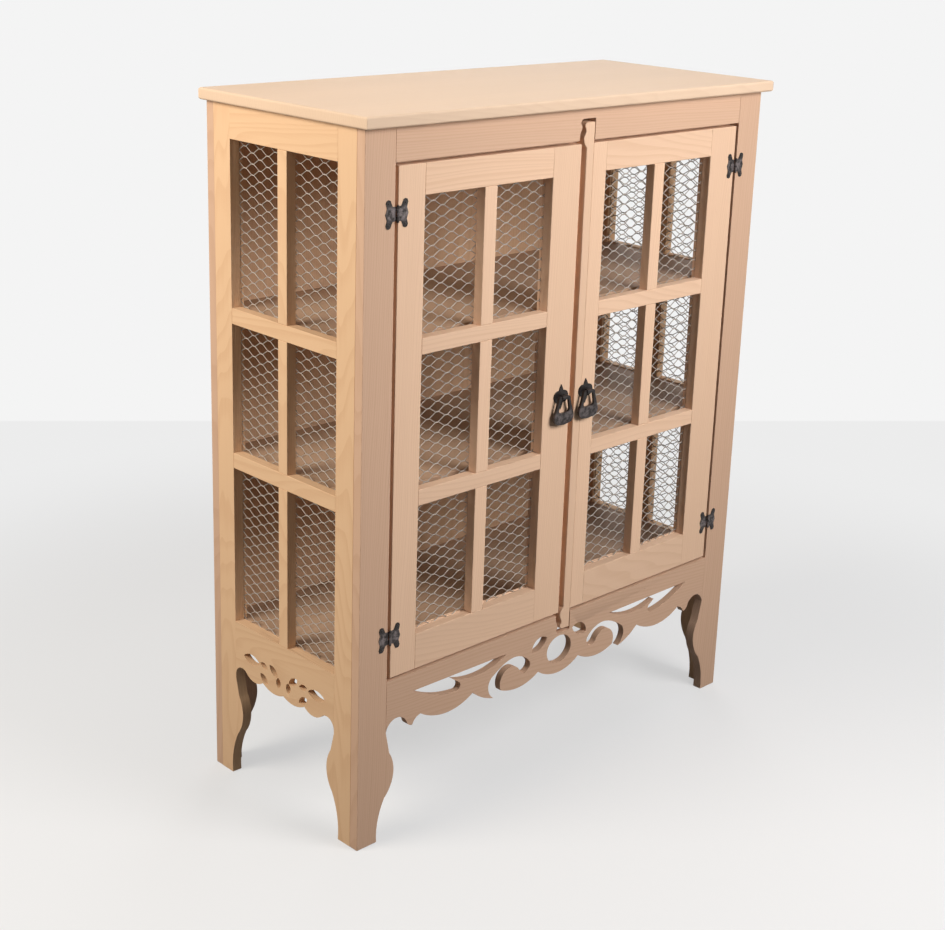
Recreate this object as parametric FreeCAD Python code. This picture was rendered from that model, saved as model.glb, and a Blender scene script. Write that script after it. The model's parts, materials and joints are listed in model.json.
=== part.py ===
import FreeCAD, Part
import math
import os

# Trastero: a pine cupboard on scroll-cut board legs, with two doors whose
# lights, like the sides', are filled with poultry netting.
# Millimetres. X runs along the front, Y from front to back, Z up.
# The origin is on the floor, under the middle of the top board.

# Top board and carcass
top_width = 1000.0
top_depth = 430.0
top_thickness = 20.0
top_front_overhang = 18.0
top_edge_round = 4.0
overall_height = 1250.0
top_side_overhang = 12.0
top_back_overhang = 6.0
board = 19.0
fretwork_board = 13.0

# Face frame at the front, repeated without doors at the back
front_stile = 62.0
front_top_rail = 56.0
apron_top = 299.0
apron_drop = 118.0
apron_rail = 34.0
front_leg_height = 204.0

# Side frames
side_stile = 64.0
side_top_rail = 58.0
side_apron_top = 309.0
side_apron_drop = 102.0
side_apron_rail = 46.0
side_leg_height = 198.0
side_bar = 24.0

# Doors
hinge_gap = 6.5
meeting_gap = 13.0
door_gap = 5.0
door_top_rail = 51.0
door_bottom_rail = 65.0
door_bar = 28.0
left_hinge_stile = 56.0
left_lock_stile = 67.0
right_hinge_stile = 71.0
right_lock_stile = 52.0

# Strip on the right door's meeting edge, and the batten behind the gap
strip_width = 18.0
strip_tail = 36.0
strip_seam = 1.5
slot_width = 10.0
slot_depth = 37.0
batten_width = 22.0
batten_thickness = 10.0
batten_clearance = 2.5
batten_end_gap = 16.0

# Wood joints
tenon_length = 22.0
tenon_thickness = 7.0
tenon_shoulder = 10.0
stub_length = 8.0
tenon_end_gap = 1.0

# Inside
shelf = 19.0
shelf_drop = 2.0
shelf_setback = 36.0
shelf_end_gap = 0.5
floor_setback = 20.0
cleat = 15.0
back_panel_thickness = 9.0
rear_rail = 60.0

# Netting
net_thickness = 1.0
net_wire = 2.4
net_margin = 12.0
bead_width = 12.0
bead_thickness = 6.0
door_mesh_width = 90.0
side_mesh_width = 90.0

# Butterfly hinges
hinge_half_width = 23.5
hinge_half_height = 23.0
leaf_thickness = 1.2
knuckle_radius = 2.6
knuckle_length = 22.0
knuckle_gap = 0.3
hinge_pin_radius = 1.2
pin_clearance = 0.05
knuckle_lift = 0.2
upper_hinge_drop = 74.0
lower_hinge_rise = 76.0

# Drop pulls
pull_height = 727.0
left_pull_inset = 23.5
right_pull_inset = 27.5
plate_half_width = 18.0
plate_rise = 22.0
plate_drop = 24.0
plate_thickness = 2.0
pivot_reach = 9.0
barrel_radius = 4.2
barrel_length = 12.0
neck_half_width = 2.8
rod_radius = 1.7
bail_wire = 2.4
bail_half_width = 18.5
bail_drop = 46.0
bail_shoulder_gap = 0.3

cut_overrun = 5.0
straight_share = 0.001

# Places that follow from the sizes
body_width = top_width - 2 * top_side_overhang
body_depth = top_depth - top_front_overhang - top_back_overhang
left = -body_width / 2
right = body_width / 2
front = -top_depth / 2 + top_front_overhang
back = front + body_depth
middle_y = (front + back) / 2
body_top = overall_height - top_thickness
opening_top = body_top - front_top_rail
opening_left = left + front_stile
opening_right = right - front_stile
door_width = (opening_right - opening_left - 2 * hinge_gap - meeting_gap) / 2
door_bottom = apron_top + door_gap
door_top = opening_top - door_gap
light_height = (door_top - door_bottom - door_top_rail - door_bottom_rail - 2 * door_bar) / 3
lower_bar_bottom = door_bottom + door_bottom_rail + light_height
upper_bar_bottom = lower_bar_bottom + door_bar + light_height
left_door_x = opening_left + hinge_gap
right_door_x = opening_right - hinge_gap - door_width
door_back = front + board
rear_board = back - board
panel_front = rear_board - back_panel_thickness
inner_left = left + board
inner_right = right - board
side_window_front = front + side_stile
side_window_back = back - side_stile
floor_top = side_apron_top
rail_bottom = apron_top - apron_rail
side_rail_bottom = side_apron_top - side_apron_rail
shelf_tops = [lower_bar_bottom + door_bar - shelf_drop, upper_bar_bottom + door_bar - shelf_drop]

# Scroll shapes, as shares of the half length (from the middle out) and of the
# drop below the board's top edge
apron_edge_shares = [
    [(1.0, 0.795), (0.944, 0.63), (0.892, 0.746)],
    [(0.892, 0.746), (0.88, 0.82), (0.859, 0.847)],
    [(0.859, 0.847), (0.845, 0.77), (0.815, 0.72)],
    [(0.815, 0.72), (0.67, 0.885), (0.521, 0.737)],
    [(0.521, 0.737), (0.466, 0.88), (0.397, 0.975)],
    [(0.397, 0.975), (0.43, 0.79), (0.352, 0.492), (0.25, 0.44), (0.181, 0.61)],
    [(0.181, 0.61), (0.21, 0.757), (0.242, 0.695)],
    [(0.242, 0.695), (0.308, 0.57), (0.354, 0.898)],
    [(0.354, 0.898), (0.235, 0.975), (0.127, 0.847)],
]
apron_middle_shares = [(0.127, 0.847), (0.0, 1.0), (-0.127, 0.847)]
leaf_shares = [
    [(0.324, 0.315), (0.859, 0.305)],
    [(0.859, 0.305), (0.756, 0.49), (0.62, 0.593)],
    [(0.62, 0.593), (0.596, 0.54), (0.604, 0.46)],
    [(0.604, 0.46), (0.634, 0.385)],
    [(0.634, 0.385), (0.49, 0.47), (0.324, 0.315)],
]
drop_shares = [
    [(0.08, 0.314), (0.104, 0.43), (0.172, 0.47)],
    [(0.172, 0.47), (0.164, 0.36), (0.08, 0.314)],
]
ring_width_share = 0.275
ring_rise_share = 0.232
ring_height_share = 0.593

side_edge_shares = [
    [(1.0, 1.02), (0.93, 0.865), (0.777, 0.882)],
    [(0.777, 0.882), (0.58, 0.985), (0.424, 0.902)],
    [(0.424, 0.902), (0.24, 0.99), (0.0, 0.931)],
]
side_hole_shares = [
    [[(0.826, 0.569), (0.65, 0.48), (0.49, 0.578)], [(0.49, 0.578), (0.66, 0.667), (0.826, 0.569)]],
    [[(0.475, 0.535), (0.395, 0.505), (0.316, 0.58)], [(0.316, 0.58), (0.41, 0.61), (0.475, 0.535)]],
    [[(0.279, 0.48), (0.176, 0.50), (0.112, 0.64)], [(0.112, 0.64), (0.237, 0.61), (0.279, 0.48)]],
    [[(0.475, 0.735), (0.36, 0.76), (0.315, 0.883)], [(0.315, 0.883), (0.43, 0.86), (0.475, 0.735)]],
    [[(0.1, 0.637), (0.054, 0.73), (0.1, 0.83)], [(0.1, 0.83), (0.146, 0.73), (0.1, 0.637)]],
]

# Inner edges of the legs, as shares of the stile's width and the leg's height
front_leg_shares = [
    [(0.71, 0.0), (0.745, 0.19), (0.98, 0.39)],
    [(0.98, 0.39), (1.3, 0.58), (1.14, 0.8)],
    [(1.14, 0.8), (1.0, 1.0)],
]
side_leg_shares = [
    [(0.8, 0.0), (0.83, 0.22), (1.06, 0.43)],
    [(1.06, 0.43), (1.3, 0.62), (1.13, 0.83)],
    [(1.13, 0.83), (1.0, 1.0)],
]

# The S-shaped ends of the meeting strip, as shares of the slot's width (towards
# the left door) and of the tail's length
tail_shares = [(0.0, -0.2), (-0.8, 0.2), (-0.35, 0.6), (-0.6, 0.9), (0.1, 1.0)]
notch_shares = [(-1.9, 0.0), (-1.75, 0.34), (-1.35, 0.62), (-1.6, 0.9), (-0.9, 1.0)]

# Half outlines of a hinge leaf and of the pull's back plate, as shares of their
# half width and half height, and of the bail, of its half width and its drop
wing_shares = [
    [(0.0, 0.49), (0.3, 0.52)],
    [(0.3, 0.52), (0.44, 0.76)],
    [(0.44, 0.76), (0.52, 0.94)],
    [(0.52, 0.94), (0.7, 1.0)],
    [(0.7, 1.0), (0.88, 0.94)],
    [(0.88, 0.94), (0.96, 0.76)],
    [(0.96, 0.76), (0.84, 0.4)],
    [(0.84, 0.4), (1.0, 0.0)],
]
plate_shares = [
    [(0.0, 1.0), (0.18, 0.72)],
    [(0.18, 0.72), (0.3, 0.48)],
    [(0.3, 0.48), (1.0, 0.0), (0.3, -0.46)],
    [(0.3, -0.46), (0.0, -1.0)],
]
bail_outer_shares = [
    [(0.7, 0.02), (0.81, -0.12)],
    [(0.81, -0.12), (1.28, -0.68)],
    [(1.28, -0.68), (1.19, -0.95), (0.8, -1.05)],
    [(0.8, -1.05), (0.0, -1.09)],
]
bail_inner_shares = [
    [(0.0, -0.62), (0.5, -0.6)],
    [(0.5, -0.6), (0.69, -0.55), (0.72, -0.42)],
    [(0.72, -0.42), (0.58, -0.13)],
]


def block(x0, x1, y0, y1, z0, z1):
    """A box between two corners."""
    return Part.makeBox(x1 - x0, y1 - y0, z1 - z0, FreeCAD.Vector(x0, y0, z0))


def sweep_arc(start, direction, end):
    """The arc that leaves start in the given direction and reaches end, or a line."""
    chord = end - start
    length = chord.Length
    normal = direction.cross(chord)
    if normal.Length < length * straight_share:
        return Part.makeLine(start, end), direction
    inward = normal.cross(direction).normalize()
    radius = length * length / (2 * inward.dot(chord))
    centre = start + inward * radius
    middle = (start - centre) + (end - centre)
    if middle.Length < radius * straight_share:
        middle = direction
    turned = (end - centre).cross(direction.cross(inward)).normalize()
    sense = middle.normalize() * radius
    if direction.dot(chord) < 0:
        sense = -sense
    return Part.Arc(start, centre + sense, end).toShape(), turned


def curve(points):
    """Edges through the points: a line, an arc, or pairs of arcs that meet smoothly."""
    if len(points) == 2:
        return [Part.makeLine(points[0], points[1])]
    if len(points) == 3:
        return [Part.Arc(*points).toShape()]
    headings = [end_heading(points[0], points[1], points[2])]
    for before, here, after in zip(points, points[1:], points[2:]):
        headings.append(passing_heading(before, here, after))
    headings.append(-end_heading(points[-1], points[-2], points[-3]))
    edges = []
    for i in range(len(points) - 1):
        edges += biarc(points[i], headings[i], points[i + 1], headings[i + 1])
    return edges


def passing_heading(before, here, after):
    """Direction of the circle through three points, where it passes the middle one."""
    first = here - before
    second = after - here
    return (first * (second.Length / first.Length) + second * (first.Length / second.Length)).normalize()


def end_heading(here, near, far):
    """Direction of the circle through three points, where it leaves the first one."""
    chord = (near - here).normalize()
    pass_by = passing_heading(here, near, far)
    return (chord * (2 * chord.dot(pass_by)) - pass_by).normalize()


def biarc(start, leave, end, arrive):
    """Two arcs with one tangent where they meet, between two set directions."""
    gap = end - start
    spread = leave + arrive
    a = 2 * (1 - leave.dot(arrive))
    b = gap.dot(spread)
    if a < straight_share:
        reach = gap.dot(gap) / (2 * b)
    else:
        reach = (math.sqrt(b * b + a * gap.dot(gap)) - b) / a
    joint = (start + leave * reach + end - arrive * reach) * 0.5
    first, turned = sweep_arc(start, leave, joint)
    back, turned = sweep_arc(end, -arrive, joint)
    return [first, back]


def face_of(runs, place):
    """A flat face bounded by runs of points that meet end to end."""
    edges = [edge for run in runs for edge in curve([place(*point) for point in run])]
    return Part.Face(Part.Wire(Part.__sortEdges__(edges)))


def mirrored(runs):
    """The same runs on the other side of the middle, walked the other way."""
    return [[(-u, v) for u, v in reversed(run)] for run in reversed(runs)]


def across_front(y):
    return lambda x, z: FreeCAD.Vector(x, y, z)


def across_side(x):
    return lambda y, z: FreeCAD.Vector(x, y, z)


def mirror_x(shape):
    return shape.mirror(FreeCAD.Vector(0, 0, 0), FreeCAD.Vector(1, 0, 0))


def flip_y(shape):
    """The same board at the back, mirrored about the middle of the depth."""
    return shape.mirror(FreeCAD.Vector(0, middle_y, 0), FreeCAD.Vector(0, 1, 0))


def save(name, *shapes):
    """One file for each named piece; several solids when the piece is a set."""
    solids = [solid for shape in shapes for solid in shape.Solids]
    shape = solids[0] if len(solids) == 1 else Part.makeCompound(solids)
    shape.exportStep("parts/" + name + ".step")


def rail_tenons(x0, x1, y, z0, z1, reach):
    """Tongues on both ends of a rail that runs along X."""
    y0 = y + (board - tenon_thickness) / 2
    y1 = y0 + tenon_thickness
    return [block(x0 - reach, x0, y0, y1, z0, z1), block(x1, x1 + reach, y0, y1, z0, z1)]


def side_tenons(x, y0, y1, z0, z1, reach):
    """Tongues on both ends of a side rail that runs along Y."""
    x0 = x + (board - tenon_thickness) / 2
    x1 = x0 + tenon_thickness
    return [block(x0, x1, y0 - reach, y0, z0, z1), block(x0, x1, y1, y1 + reach, z0, z1)]


def bar_tenons(x0, x1, y, z0, z1, reach):
    """Short tongues on the upper and lower ends of an upright bar."""
    y0 = y + (board - tenon_thickness) / 2
    y1 = y0 + tenon_thickness
    return [block(x0, x1, y0, y1, z0 - reach, z0), block(x0, x1, y0, y1, z1, z1 + reach)]


# Leg boards
def front_leg_board():
    """Left front board: stile above, scrolled leg below."""
    inner = [[(left + front_stile * u, front_leg_height * v) for u, v in run] for run in front_leg_shares]
    runs = leg_outline(inner, left, opening_left)
    return face_of(runs, across_front(front)).extrude(FreeCAD.Vector(0, board, 0))


def side_leg_board():
    """Left side board at the front corner, butted behind the front board."""
    inner = [[(front + side_stile * u, side_leg_height * v) for u, v in run] for run in side_leg_shares]
    runs = leg_outline(inner, door_back, side_window_front)
    return face_of(runs, across_side(left)).extrude(FreeCAD.Vector(board, 0, 0))


def leg_outline(inner, outer_edge, stile_edge):
    """Foot, scrolled inner edge, straight stile edge, top and outer edge."""
    foot = inner[0][0]
    neck = inner[-1][-1]
    corners = [neck, (stile_edge, body_top), (outer_edge, body_top), (outer_edge, 0), foot]
    return inner + [list(side) for side in zip(corners, corners[1:])]


# Fretwork boards
def front_apron_board():
    """Bottom rail and scroll-cut apron in one board, thinned behind the scrolls."""
    half = (opening_right - opening_left) / 2
    place = across_front(front)

    def at(shares):
        return [(half * u, apron_top - apron_drop * v) for u, v in shares]

    lower = [at(run) for run in apron_edge_shares]
    runs = [[(-half, apron_top), (half, apron_top)], [(half, apron_top), lower[0][0]]]
    runs += lower + [at(apron_middle_shares)] + mirrored(lower)
    runs += [[(-lower[0][0][0], lower[0][0][1]), (-half, apron_top)]]
    apron = face_of(runs, place)
    leaf = [at(run) for run in leaf_shares]
    holes = [face_of(leaf, place), face_of(mirrored(leaf), place)]
    drop = [at(run) for run in drop_shares]
    holes += [face_of(drop, place), face_of(mirrored(drop), place)]
    ring_centre = place(0, apron_top - apron_drop * ring_height_share)
    ring = Part.Ellipse(ring_centre + FreeCAD.Vector(apron_drop * ring_width_share, 0, 0),
                        ring_centre + FreeCAD.Vector(0, 0, apron_drop * ring_rise_share), ring_centre)
    holes += [Part.Face(Part.Wire([ring.toShape()]))]
    apron = apron.cut(holes).extrude(FreeCAD.Vector(0, fretwork_board, 0))
    rail = block(-half, half, front + fretwork_board, door_back, rail_bottom, apron_top)
    apron = apron.fuse([rail] + apron_tenons()).removeSplitter()
    return apron.cut(strip_notch(apron_top, -1))


def apron_tenons():
    return rail_tenons(opening_left, opening_right, front, rail_bottom, apron_top - tenon_shoulder,
                       tenon_length)


def side_apron_board():
    """Bottom rail of a side frame, pierced, scrolled and thinned like the front."""
    half = (side_window_back - side_window_front) / 2
    place = across_side(left)

    def at(shares, sign=1):
        return [(middle_y + sign * half * u, side_apron_top - side_apron_drop * v) for u, v in shares]

    lower = [at(run) for run in side_edge_shares]
    other = [at(reversed(run), -1) for run in reversed(side_edge_shares)]
    top_left = (side_window_front, side_apron_top)
    top_right = (side_window_back, side_apron_top)
    runs = [[top_left, top_right], [top_right, lower[0][0]]]
    runs += lower + other + [[other[-1][-1], top_left]]
    apron = face_of(runs, place)
    holes = [face_of([at(run, sign) for run in runs], place) for runs in side_hole_shares for sign in (1, -1)]
    apron = apron.cut(holes).extrude(FreeCAD.Vector(fretwork_board, 0, 0))
    rail = block(left + fretwork_board, inner_left, side_window_front, side_window_back,
                 side_rail_bottom, side_apron_top)
    tenons = side_rail_tenons(side_rail_bottom, side_apron_top - tenon_shoulder)
    return apron.fuse([rail] + tenons).removeSplitter()


def side_rail_tenons(z0, z1, extra=0):
    return side_tenons(left, side_window_front, side_window_back, z0, z1, tenon_length + extra)


def strip_notch(edge, direction):
    """Room for the meeting strip's end, cut into a rail from its edge at Z = edge."""
    strip_left = right_door_x
    strip_right = right_door_x + strip_width + strip_seam
    place = across_front(front - cut_overrun)
    wavy = [(strip_left + slot_width * u, edge + direction * slot_depth * v) for u, v in notch_shares]
    end = edge + direction * slot_depth
    mouth = edge - direction * cut_overrun
    runs = [[(wavy[0][0], mouth), wavy[0]], wavy,
            [wavy[-1], (strip_right, end)],
            [(strip_right, end), (strip_right, mouth)],
            [(strip_right, mouth), (wavy[0][0], mouth)]]
    return face_of(runs, place).extrude(FreeCAD.Vector(0, board + 2 * cut_overrun, 0))


# Carcass
def build_carcass():
    top = block(-top_width / 2, top_width / 2, -top_depth / 2, top_depth / 2, body_top, overall_height)
    level = [edge for edge in top.Edges if edge.BoundBox.ZLength < top_edge_round]
    save("top_board", top.makeFillet(top_edge_round, level))

    apron_sockets = rail_tenons(opening_left, opening_right, front, rail_bottom,
                                apron_top - tenon_shoulder, tenon_length + tenon_end_gap)
    top_rail_sockets = rail_tenons(opening_left, opening_right, front, opening_top + tenon_shoulder,
                                   body_top - tenon_shoulder, tenon_length + tenon_end_gap)
    leg = front_leg_board()
    front_leg = leg.cut([apron_sockets[0], top_rail_sockets[0]])
    save("front_leg_left", front_leg)
    save("front_leg_right", mirror_x(front_leg))
    rear_sockets = rail_tenons(opening_left, opening_right, front, rear_rail_bottom() + tenon_shoulder,
                               rear_rail_bottom() + rear_rail - tenon_shoulder,
                               tenon_length + tenon_end_gap)
    rear_leg = flip_y(leg.cut([rear_sockets[0], top_rail_sockets[0]]))
    save("rear_leg_left", rear_leg)
    save("rear_leg_right", mirror_x(rear_leg))

    rail = block(opening_left, opening_right, front, door_back, opening_top, body_top)
    rail = rail.fuse(rail_tenons(opening_left, opening_right, front, opening_top + tenon_shoulder,
                                 body_top - tenon_shoulder, tenon_length)).removeSplitter()
    save("front_top_rail", rail.cut(strip_notch(opening_top, 1)))
    save("rear_top_rail", flip_y(rail))
    low = rear_rail_bottom()
    rear = block(opening_left, opening_right, front, door_back, low, low + rear_rail)
    rear = rear.fuse(rail_tenons(opening_left, opening_right, front, low + tenon_shoulder,
                                 low + rear_rail - tenon_shoulder, tenon_length)).removeSplitter()
    save("rear_bottom_rail", flip_y(rear))
    save("front_apron", front_apron_board())
    panel = block(inner_left, inner_right, panel_front, rear_board, low, body_top)
    save("back_panel", panel)


def rear_rail_bottom():
    return floor_top - shelf - cleat


def side_windows():
    """Heights of the side frame's cross bars, level with the doors' bars."""
    return [lower_bar_bottom, upper_bar_bottom]


def build_side_frames():
    z_top = body_top - side_top_rail
    x_end = left + board
    y0 = side_window_front
    y1 = side_window_back
    apron_sockets = side_rail_tenons(side_rail_bottom, side_apron_top - tenon_shoulder, tenon_end_gap)
    top_sockets = side_rail_tenons(z_top + tenon_shoulder, body_top - tenon_shoulder, tenon_end_gap)
    bar_sockets = []
    for z in side_windows():
        bar_sockets += side_tenons(left, y0, y1, z, z + door_bar, stub_length + tenon_end_gap)
    sockets = apron_sockets + top_sockets + bar_sockets
    leg = side_leg_board()
    front_board = leg.cut(sockets)
    rear_board_shape = flip_y(leg).cut(sockets)

    bar_x0 = middle_y - side_bar / 2
    bar_x1 = middle_y + side_bar / 2
    tongue_x0 = left + (board - tenon_thickness) / 2
    tongue_x1 = tongue_x0 + tenon_thickness
    half_x = left + board / 2

    upright = block(left, x_end, bar_x0, bar_x1, side_apron_top, z_top)
    upright = upright.fuse([
        block(tongue_x0, tongue_x1, bar_x0, bar_x1, side_apron_top - stub_length, side_apron_top),
        block(tongue_x0, tongue_x1, bar_x0, bar_x1, z_top, z_top + stub_length)]).removeSplitter()
    upright_sockets = [
        block(tongue_x0, tongue_x1, bar_x0, bar_x1, side_apron_top - stub_length - tenon_end_gap,
              side_apron_top),
        block(tongue_x0, tongue_x1, bar_x0, bar_x1, z_top, z_top + stub_length + tenon_end_gap)]
    cross = []
    for z in side_windows():
        upright = upright.cut(block(left - cut_overrun, half_x, bar_x0, bar_x1, z, z + door_bar))
        bar = block(left, x_end, y0, y1, z, z + door_bar)
        bar = bar.fuse(side_tenons(left, y0, y1, z, z + door_bar, stub_length)).removeSplitter()
        cross.append(bar.cut(block(half_x, x_end + cut_overrun, bar_x0, bar_x1, z, z + door_bar)))

    rail = block(left, x_end, y0, y1, z_top, body_top)
    rail = rail.fuse(side_rail_tenons(z_top + tenon_shoulder, body_top - tenon_shoulder)).removeSplitter()
    pieces = {
        "side_leg_front": [front_board],
        "side_leg_rear": [rear_board_shape],
        "side_top_rail": [rail.cut(upright_sockets[1])],
        "side_apron": [side_apron_board().cut(upright_sockets[0])],
        "side_upright_bar": [upright],
        "side_cross_bars": cross,
        "side_net": [side_net()],
        "side_net_beads": side_net_beads(),
    }
    for name, shapes in pieces.items():
        save(name + "_left", *shapes)
        if name != "side_apron":
            save(name + "_right", *[mirror_x(shape) for shape in shapes])
    apron = pieces["side_apron"][0].copy()
    apron.translate(FreeCAD.Vector(body_width - board, 0, 0))
    save("side_apron_right", apron)


# Netting
def netting(u0, u1, v0, v1, pitch, place, thickness):
    """A sheet of six-sided meshes: one holed face, thickened."""
    sheet = Part.Face(Part.makePolygon([place(u0, v0), place(u1, v0), place(u1, v1), place(u0, v1),
                                        place(u0, v0)]))
    inner_u = u1 - u0 - 2 * net_margin
    inner_v = v1 - v0 - 2 * net_margin
    columns = max(1, int(inner_u // pitch))
    step_u = inner_u / columns
    row_pitch = pitch * math.sqrt(3) / 2
    rows = max(1, int(inner_v // row_pitch))
    step_v = inner_v / rows
    holes = []
    for row in range(rows):
        shift = step_u / 2 if row % 2 else 0
        for column in range(columns - row % 2):
            u = u0 + net_margin + step_u * (column + 1 / 2) + shift
            v = v0 + net_margin + step_v * (row + 1 / 2)
            holes.append(mesh_hole(u, v, step_u - net_wire, step_v * 4 / 3 - net_wire, place))
    return sheet.cut(holes).extrude(thickness)


def mesh_hole(u, v, width, height, place):
    """One six-sided mesh with its corners up and down."""
    corners = []
    for turn in range(7):
        angle = math.pi / 6 + turn * math.pi / 3
        corners.append(place(u + width / math.sqrt(3) * math.cos(angle),
                             v + height / 2 * math.sin(angle)))
    return Part.Face(Part.makePolygon(corners))


def side_net():
    y0 = side_window_front - net_margin
    y1 = side_window_back + net_margin
    z0 = side_apron_top - net_margin
    z1 = body_top - side_top_rail + net_margin
    return netting(y0, y1, z0, z1, side_mesh_width, across_side(inner_left),
                   FreeCAD.Vector(net_thickness, 0, 0))


def side_net_beads():
    """Laths over the net's edges, between floor, shelves and top."""
    x0 = inner_left + net_thickness
    x1 = x0 + bead_thickness
    y0 = side_window_front - net_margin
    y1 = side_window_back + net_margin
    top = body_top - side_top_rail + net_margin
    beads = []
    floors = [floor_top] + shelf_tops
    ceilings = [z - shelf - cleat for z in shelf_tops] + [top - bead_width]
    for z0, z1 in zip(floors, ceilings):
        beads.append(block(x0, x1, y0, y0 + bead_width, z0, z1))
        beads.append(block(x0, x1, y1 - bead_width, y1, z0, z1))
    beads.append(block(x0, x1, y0, y1, top - bead_width, top))
    return beads


# Floor and shelves
def build_inside():
    net_face = inner_left + net_thickness
    x0 = net_face + shelf_end_gap
    y0 = front + shelf_setback
    save("cabinet_floor", block(x0, -x0, front + floor_setback, panel_front, floor_top - shelf, floor_top))
    names = ["lower_shelf", "upper_shelf"]
    cleats = []
    for name, z in zip(names, shelf_tops):
        save(name, block(x0, -x0, y0, panel_front, z - shelf, z))
        side = block(net_face, net_face + cleat, y0, panel_front, z - shelf - cleat, z - shelf)
        cleats += [side, mirror_x(side)]
    save("shelf_cleats", *cleats)
    low = floor_top - shelf
    side = block(inner_left, inner_left + cleat, door_back + cleat, panel_front - cleat, low - cleat, low)
    across = block(inner_left, inner_right, door_back, door_back + cleat, low - cleat, low)
    behind = block(inner_left, inner_right, panel_front - cleat, panel_front, low - cleat, low)
    save("floor_cleats", side, mirror_x(side), across, behind)


# Doors
def build_door(name, x0, first_stile, last_stile):
    """One door: stiles, rails, halved bars, net and its laths."""
    x1 = x0 + door_width
    light_x0 = x0 + first_stile
    light_x1 = x1 - last_stile
    light_z0 = door_bottom + door_bottom_rail
    light_z1 = door_top - door_top_rail
    middle = (light_x0 + light_x1) / 2
    bar_x0 = middle - door_bar / 2
    bar_x1 = middle + door_bar / 2
    half_y = front + board / 2
    rails = {"bottom_rail": (door_bottom, light_z0), "top_rail": (light_z1, door_top)}

    sockets = []
    for rail, (z0, z1) in rails.items():
        shape = block(light_x0, light_x1, front, door_back, z0, z1)
        tongue = (light_x0, light_x1, front, z0 + tenon_shoulder, z1 - tenon_shoulder)
        shape = shape.fuse(rail_tenons(*tongue, tenon_length)).removeSplitter()
        shape = shape.cut(bar_tenons(bar_x0, bar_x1, front, light_z0, light_z1,
                                     stub_length + tenon_end_gap))
        sockets += rail_tenons(*tongue, tenon_length + tenon_end_gap)
        save(name + "_door_" + rail, shape)

    upright = block(bar_x0, bar_x1, front, door_back, light_z0, light_z1)
    upright = upright.fuse(bar_tenons(bar_x0, bar_x1, front, light_z0, light_z1, stub_length))
    upright = upright.removeSplitter()
    cross = []
    for z in [lower_bar_bottom, upper_bar_bottom]:
        upright = upright.cut(block(bar_x0, bar_x1, front - cut_overrun, half_y, z, z + door_bar))
        bar = block(light_x0, light_x1, front, door_back, z, z + door_bar)
        bar = bar.fuse(rail_tenons(light_x0, light_x1, front, z, z + door_bar, stub_length))
        bar = bar.removeSplitter()
        cross.append(bar.cut(block(bar_x0, bar_x1, half_y, door_back + cut_overrun, z, z + door_bar)))
        sockets += rail_tenons(light_x0, light_x1, front, z, z + door_bar, stub_length + tenon_end_gap)
    save(name + "_door_upright_bar", upright)
    save(name + "_door_cross_bars", *cross)

    first = block(x0, light_x0, front, door_back, door_bottom, door_top).cut(sockets)
    last = block(light_x1, x1, front, door_back, door_bottom, door_top).cut(sockets)

    u0 = light_x0 - net_margin
    u1 = light_x1 + net_margin
    v0 = light_z0 - net_margin
    v1 = light_z1 + net_margin
    save(name + "_door_net", netting(u0, u1, v0, v1, door_mesh_width, across_front(door_back),
                                     FreeCAD.Vector(0, net_thickness, 0)))
    y0 = door_back + net_thickness
    y1 = y0 + bead_thickness
    save(name + "_door_net_beads",
         block(u0, u1, y0, y1, v0, v0 + bead_width),
         block(u0, u1, y0, y1, v1 - bead_width, v1),
         block(u0, u0 + bead_width, y0, y1, v0 + bead_width, v1 - bead_width),
         block(u1 - bead_width, u1, y0, y1, v0 + bead_width, v1 - bead_width))
    return first, last


def meeting_strip():
    """Strip on the right door's edge, with an S-shaped tail at each end."""
    x0 = right_door_x
    x1 = x0 + strip_width
    upper = [(x0 + slot_width * u, door_top + strip_tail * v) for u, v in tail_shares]
    lower = [(x, door_bottom + door_top - z) for x, z in upper]
    end_top = door_top + strip_tail
    end_bottom = door_bottom - strip_tail
    runs = [list(reversed(lower)), [lower[0], upper[0]], upper,
            [upper[-1], (x1, end_top)],
            [(x1, end_top), (x1, end_bottom)],
            [(x1, end_bottom), lower[-1]]]
    return face_of(runs, across_front(front)).extrude(FreeCAD.Vector(0, board, 0))


def build_doors():
    hinge_side, lock_side = build_door("left", left_door_x, left_hinge_stile, left_lock_stile)
    save("left_door_hinge_stile", hinge_side)
    save("left_door_lock_stile", lock_side)
    batten_end = right_door_x - batten_clearance
    save("left_door_closing_batten",
         block(batten_end - batten_width, batten_end, door_back, door_back + batten_thickness,
               door_bottom + batten_end_gap, door_top - batten_end_gap))
    lock_side, hinge_side = build_door("right", right_door_x, right_lock_stile, right_hinge_stile)
    strip = block(right_door_x, right_door_x + strip_width, front - cut_overrun, door_back + cut_overrun,
                  door_bottom - cut_overrun, door_top + cut_overrun)
    save("right_door_lock_stile", lock_side.cut(strip))
    save("right_door_hinge_stile", hinge_side)
    save("right_door_meeting_strip", meeting_strip())


# Butterfly hinges
def hinge_axis_y():
    return front - knuckle_radius - knuckle_lift


def hinge_heights():
    return [door_bottom + lower_hinge_rise, door_top - upper_hinge_drop]


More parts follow.
